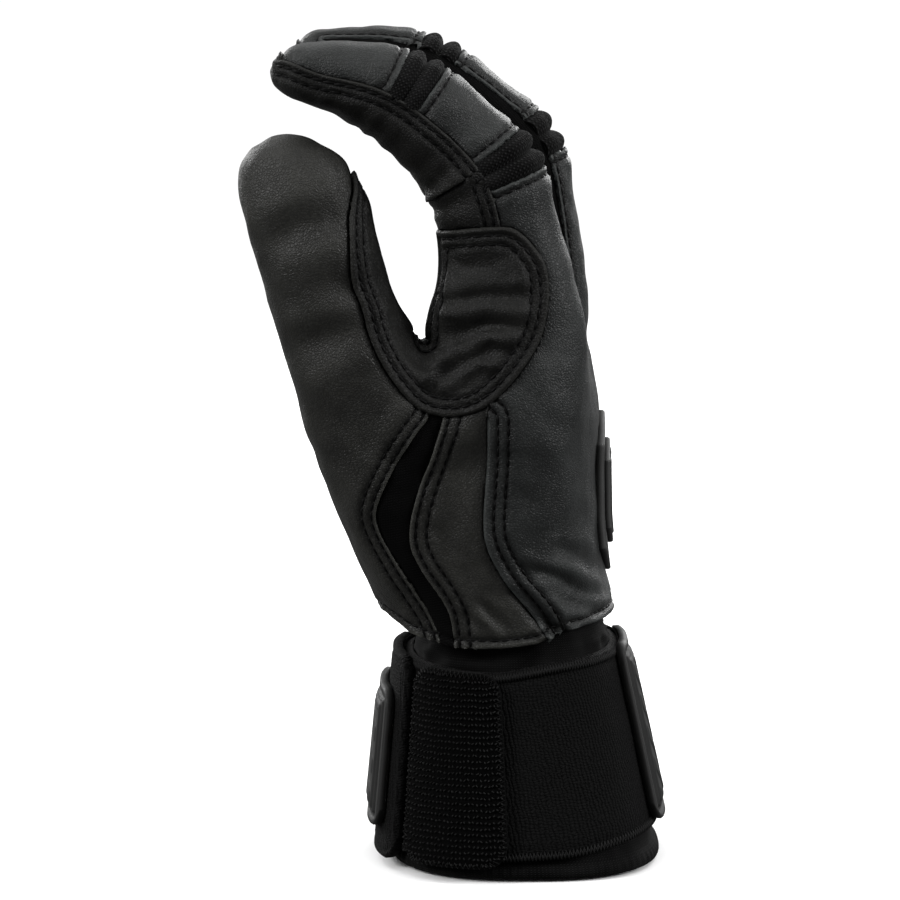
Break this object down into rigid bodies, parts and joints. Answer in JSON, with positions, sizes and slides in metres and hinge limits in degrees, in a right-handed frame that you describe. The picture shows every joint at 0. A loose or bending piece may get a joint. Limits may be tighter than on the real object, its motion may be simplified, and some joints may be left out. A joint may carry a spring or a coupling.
{
  "type": "batting glove",
  "caption": "Right-hand leather batting glove in a loosely curled form, with ribbed knuckle bands, a stretch thumb gusset and a wide hook-and-loop wrist strap.",
  "frame": {"origin": "centre of the wrist opening, in the plane of its rim", "axes": "+Z from the wrist to the fingertips, +X toward the back of the hand, -Y toward the thumb side"},
  "size_m": [0.0921, 0.0909, 0.1816],
  "materials": {
    "leather": "soft sheen, fine grain",
    "stretch": "matt stretch fabric",
    "knit": "ribbed knit",
    "neoprene": "matt knit-faced foam",
    "elastic": "woven elastic",
    "hook_and_loop": "fuzzy loop pile",
    "rubber": "satin moulded rubber"
  },
  "bodies": {
    "root": {"back_badge": "rubber", "back_badge_relief": "rubber", "back_leather": "leather", "flap_badge": "rubber", "index_dip_band": "knit", "index_distal_back": "leather", "index_front": "leather", "index_middle_back": "leather", "index_middle_strip": "stretch", "index_pip_band": "knit", "little_dip_band": "knit", "little_distal_back": "leather", "little_front": "leather", "little_middle_back": "leather", "little_pip_band": "knit", "loop_patch": "hook_and_loop", "middle_dip_band": "knit", "middle_distal_back": "leather", "middle_front": "leather", "middle_middle_back": "leather", "middle_pip_band": "knit", "middle_ring_strip": "stretch", "palm_leather": "leather", "ring_dip_band": "knit", "ring_distal_back": "leather", "ring_front": "leather", "ring_little_strip": "stretch", "ring_middle_back": "leather", "ring_pip_band": "knit", "side_strip": "leather", "strap": "elastic", "strap_badge": "rubber", "strap_flap": "elastic", "stretch_gusset": "stretch", "thumb_crotch": "leather", "thumb_leather": "leather", "wrist_sleeve": "neoprene"}
  },
  "joints": []
}
